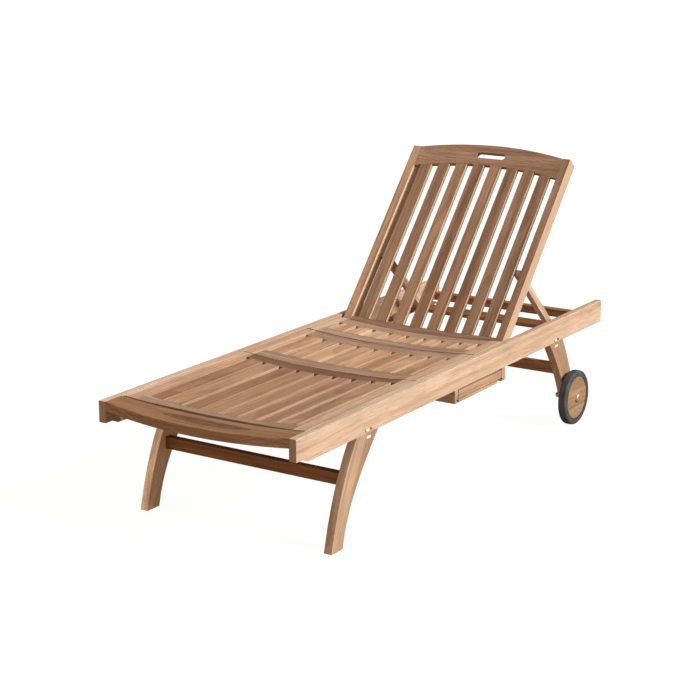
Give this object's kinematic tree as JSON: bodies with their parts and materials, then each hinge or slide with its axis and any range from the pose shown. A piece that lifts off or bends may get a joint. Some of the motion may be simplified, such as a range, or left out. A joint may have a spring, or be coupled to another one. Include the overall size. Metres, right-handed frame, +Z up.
{
  "type": "sun lounger",
  "caption": "Teak sun lounger with a dished slatted bed, an adjustable backrest on a swinging stay, a folding leg rest, a side tray and wooden wheels.",
  "frame": {"origin": "on the ground, under the middle of the lounger's bounding box", "axes": "+Y towards the head end, +X towards the tray's side, +Z up"},
  "size_m": [0.799, 1.982, 0.9488],
  "materials": {
    "teak_frame": "oiled teak, satin",
    "teak_leg": "oiled teak, satin",
    "teak_panel": "oiled teak, satin, slightly greyed on top",
    "teak_back": "oiled teak, satin",
    "teak_stay": "oiled teak, satin",
    "teak_tray": "oiled teak, satin",
    "teak_wheel": "oiled teak, satin",
    "tyre_rubber": "matt black",
    "brass": "brushed",
    "steel": "zinc plated"
  },
  "bodies": {
    "frame": {"axle_bolts": "steel", "axle_nuts": "steel", "axle_spacers": "steel", "bearer_left": "teak_frame", "bearer_right": "teak_frame", "foot_rail": "teak_panel", "frame_bolts": "brass", "front_leg_left": "teak_leg", "front_leg_right": "teak_leg", "front_stretcher": "teak_frame", "head_rail": "teak_frame", "hub_caps": "brass", "rack_left": "teak_frame", "rack_right": "teak_frame", "rear_leg_left": "teak_leg", "rear_leg_right": "teak_leg", "rear_stretcher": "teak_frame", "seat_front_rail": "teak_panel", "seat_rear_rail": "teak_panel", "seat_slats": "teak_panel", "seat_stile_left": "teak_panel", "seat_stile_right": "teak_panel", "side_rail_left": "teak_frame", "side_rail_right": "teak_frame", "tray_runner_front": "teak_frame", "tray_runner_rear": "teak_frame"},
    "backrest": {"back_bottom_rail": "teak_back", "back_pins": "steel", "back_slats": "teak_back", "back_stile_left": "teak_back", "back_stile_right": "teak_back", "back_top_rail": "teak_back", "pivot_washers": "steel", "stay_pins": "steel"},
    "stay": {"stay_arm_left": "teak_stay", "stay_arm_right": "teak_stay", "stay_bar_ends": "teak_stay", "stay_crossbar": "teak_stay"},
    "thigh_panel": {"knee_hinge_thigh": "steel", "thigh_front_rail": "teak_panel", "thigh_pins": "steel", "thigh_rear_rail": "teak_panel", "thigh_slats": "teak_panel", "thigh_stile_left": "teak_panel", "thigh_stile_right": "teak_panel"},
    "leg_panel": {"knee_hinge_leg": "steel", "leg_front_rail": "teak_panel", "leg_rear_rail": "teak_panel", "leg_slats": "teak_panel", "leg_stile_left": "teak_panel", "leg_stile_right": "teak_panel"},
    "tray": {"tray_back": "teak_tray", "tray_floor": "teak_tray", "tray_front": "teak_tray", "tray_side_front": "teak_tray", "tray_side_rear": "teak_tray"},
    "wheel_left": {"wheel_disc_left": "teak_wheel", "wheel_tyre_left": "tyre_rubber"},
    "wheel_right": {"wheel_disc_right": "teak_wheel", "wheel_tyre_right": "tyre_rubber"}
  },
  "joints": [
    {"name": "back_recline", "type": "hinge", "parent": "frame", "child": "backrest", "pos_m": [0, 0.308, 0.3705], "axis": [1, 0, 0], "range_deg": [-48.9, 16]},
    {"name": "stay_swing", "type": "hinge", "parent": "backrest", "child": "stay", "pos_m": [0, 0.49669, 0.57083], "axis": [1, 0, 0], "range_deg": [-29, 87]},
    {"name": "thigh_lift", "type": "hinge", "parent": "frame", "child": "thigh_panel", "pos_m": [0, 0.059, 0.378], "axis": [-1, 0, 0], "range_deg": [0, 25]},
    {"name": "knee_fold", "type": "hinge", "parent": "thigh_panel", "child": "leg_panel", "pos_m": [0, -0.2875, 0.347], "axis": [1, 0, 0], "range_deg": [0, 40]},
    {"name": "tray_slide", "type": "slide", "parent": "frame", "child": "tray", "axis": [1, 0, 0], "range_m": [0, 0.25]},
    {"name": "wheel_left_spin", "type": "hinge", "parent": "frame", "child": "wheel_left", "pos_m": [-0.377, 0.723, 0.097], "axis": [1, 0, 0], "continuous": true},
    {"name": "wheel_right_spin", "type": "hinge", "parent": "frame", "child": "wheel_right", "pos_m": [0.377, 0.723, 0.097], "axis": [1, 0, 0], "continuous": true}
  ],
  "couplings": [
    {"joint": "stay_swing", "follows": "back_recline", "ratio": -1.757},
    {"joint": "knee_fold", "follows": "thigh_lift", "ratio": 1.577}
  ]
}
